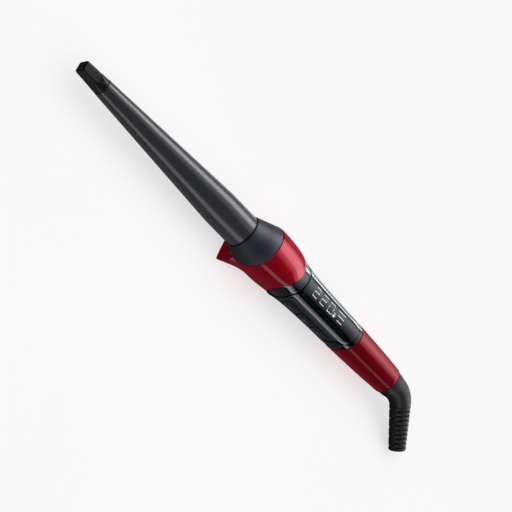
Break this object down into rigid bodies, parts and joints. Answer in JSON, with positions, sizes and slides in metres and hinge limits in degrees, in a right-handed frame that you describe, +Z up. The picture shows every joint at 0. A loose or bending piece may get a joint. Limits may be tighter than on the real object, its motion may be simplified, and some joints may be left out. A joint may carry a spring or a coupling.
{
  "type": "curling wand",
  "caption": "Hand-held hair curling wand with a smooth tapered barrel, a cool tip, a handle with a digital display and side keys, a flat stand foot and a swivelling cord outlet.",
  "frame": {"origin": "middle of the flat stand foot under the handle's front end, on the surface that the wand stands on", "axes": "+X along the wand from the barrel's cool tip to the cord outlet, +Z up out of the display, -Y towards the side with the keys"},
  "size_m": [0.3669, 0.0487, 0.0404],
  "materials": {
    "ceramic_coat": "satin dark ceramic coating on an aluminium tube",
    "tip_plastic": "black heat-resistant plastic, semi-gloss",
    "seal_rubber": "black silicone, matt",
    "collar_plastic": "dark grey moulded plastic, fine satin",
    "red_lacquer": "metallic deep red lacquer under a clear coat",
    "gloss_black": "piano black, high gloss",
    "window_acrylic": "tinted acrylic, high gloss",
    "display_white": "white, matt",
    "panel_plastic": "black, finely textured",
    "key_plastic": "black, gloss",
    "tail_rubber": "black, satin",
    "insulator": "heat-resistant natural, matt",
    "cast_aluminium": "as extruded",
    "ptc_ceramic": "ceramic strip wrapped in polyimide film",
    "spring_steel": "bright",
    "brass": "bright",
    "board_green": "solder resist",
    "component_black": "moulded epoxy",
    "capacitor_yellow": "moulded case",
    "lead_white": "woven glass sleeving",
    "lead_red": "insulated wire"
  },
  "bodies": {
    "wand": {"barrel": "ceramic_coat", "cool_tip": "tip_plastic", "barrel_seal": "seal_rubber", "collar": "collar_plastic", "front_bell": "red_lacquer", "rear_sleeve": "red_lacquer", "front_trim_ring": "gloss_black", "rear_trim_ring": "gloss_black", "handle_upper_shell": "gloss_black", "handle_lower_shell": "gloss_black", "display_window": "window_acrylic", "display_box": "display_white", "side_panel_near": "panel_plastic", "side_panel_far": "panel_plastic", "tip_plug": "insulator", "heater_core_upper": "cast_aluminium", "heater_core_lower": "cast_aluminium", "ptc_heater": "ptc_ceramic", "heater_leaf_spring": "spring_steel", "thermistor": "component_black", "thermal_fuse": "spring_steel", "heater_lead_live": "lead_white", "heater_lead_neutral": "lead_white", "sensor_lead_1": "lead_red", "sensor_lead_2": "lead_red", "supply_lead_live": "lead_white", "supply_lead_neutral": "lead_white", "barrel_flange": "insulator", "flange_screw_1": "spring_steel", "flange_screw_2": "spring_steel", "main_board": "board_green", "microcontroller": "component_black", "triac": "component_black", "supply_capacitor": "capacitor_yellow", "minus_switch": "component_black", "power_switch": "component_black", "plus_switch": "component_black", "board_screw_1": "spring_steel", "board_screw_2": "spring_steel", "shell_screw_1": "spring_steel", "shell_screw_2": "spring_steel", "swivel_bush": "insulator", "contact_leaf_live": "brass", "contact_leaf_neutral": "brass"},
    "minus_key": {"minus_button": "key_plastic", "minus_plunger": "display_white"},
    "power_key": {"power_button": "key_plastic", "power_plunger": "display_white"},
    "plus_key": {"plus_button": "key_plastic", "plus_plunger": "display_white"},
    "cord_swivel": {"swivel_spindle": "component_black", "slip_ring_live": "brass", "slip_ring_neutral": "brass", "spindle_clip": "spring_steel", "swivel_elbow": "tail_rubber", "strain_relief": "tail_rubber"}
  },
  "joints": [
    {"name": "minus_press", "type": "slide", "parent": "wand", "child": "minus_key", "axis": [0, 1, 0], "range_m": [0, 0.0005], "stiffness_N_per_m": 1500, "springref_m": -0.0008},
    {"name": "power_press", "type": "slide", "parent": "wand", "child": "power_key", "axis": [0, 1, 0], "range_m": [0, 0.0005], "stiffness_N_per_m": 1500, "springref_m": -0.0008},
    {"name": "plus_press", "type": "slide", "parent": "wand", "child": "plus_key", "axis": [0, 1, 0], "range_m": [0, 0.0005], "stiffness_N_per_m": 1500, "springref_m": -0.0008},
    {"name": "cord_swivel_turn", "type": "hinge", "parent": "wand", "child": "cord_swivel", "pos_m": [0.1474, 0, 0.02], "axis": [1, 0, 0], "continuous": true}
  ]
}
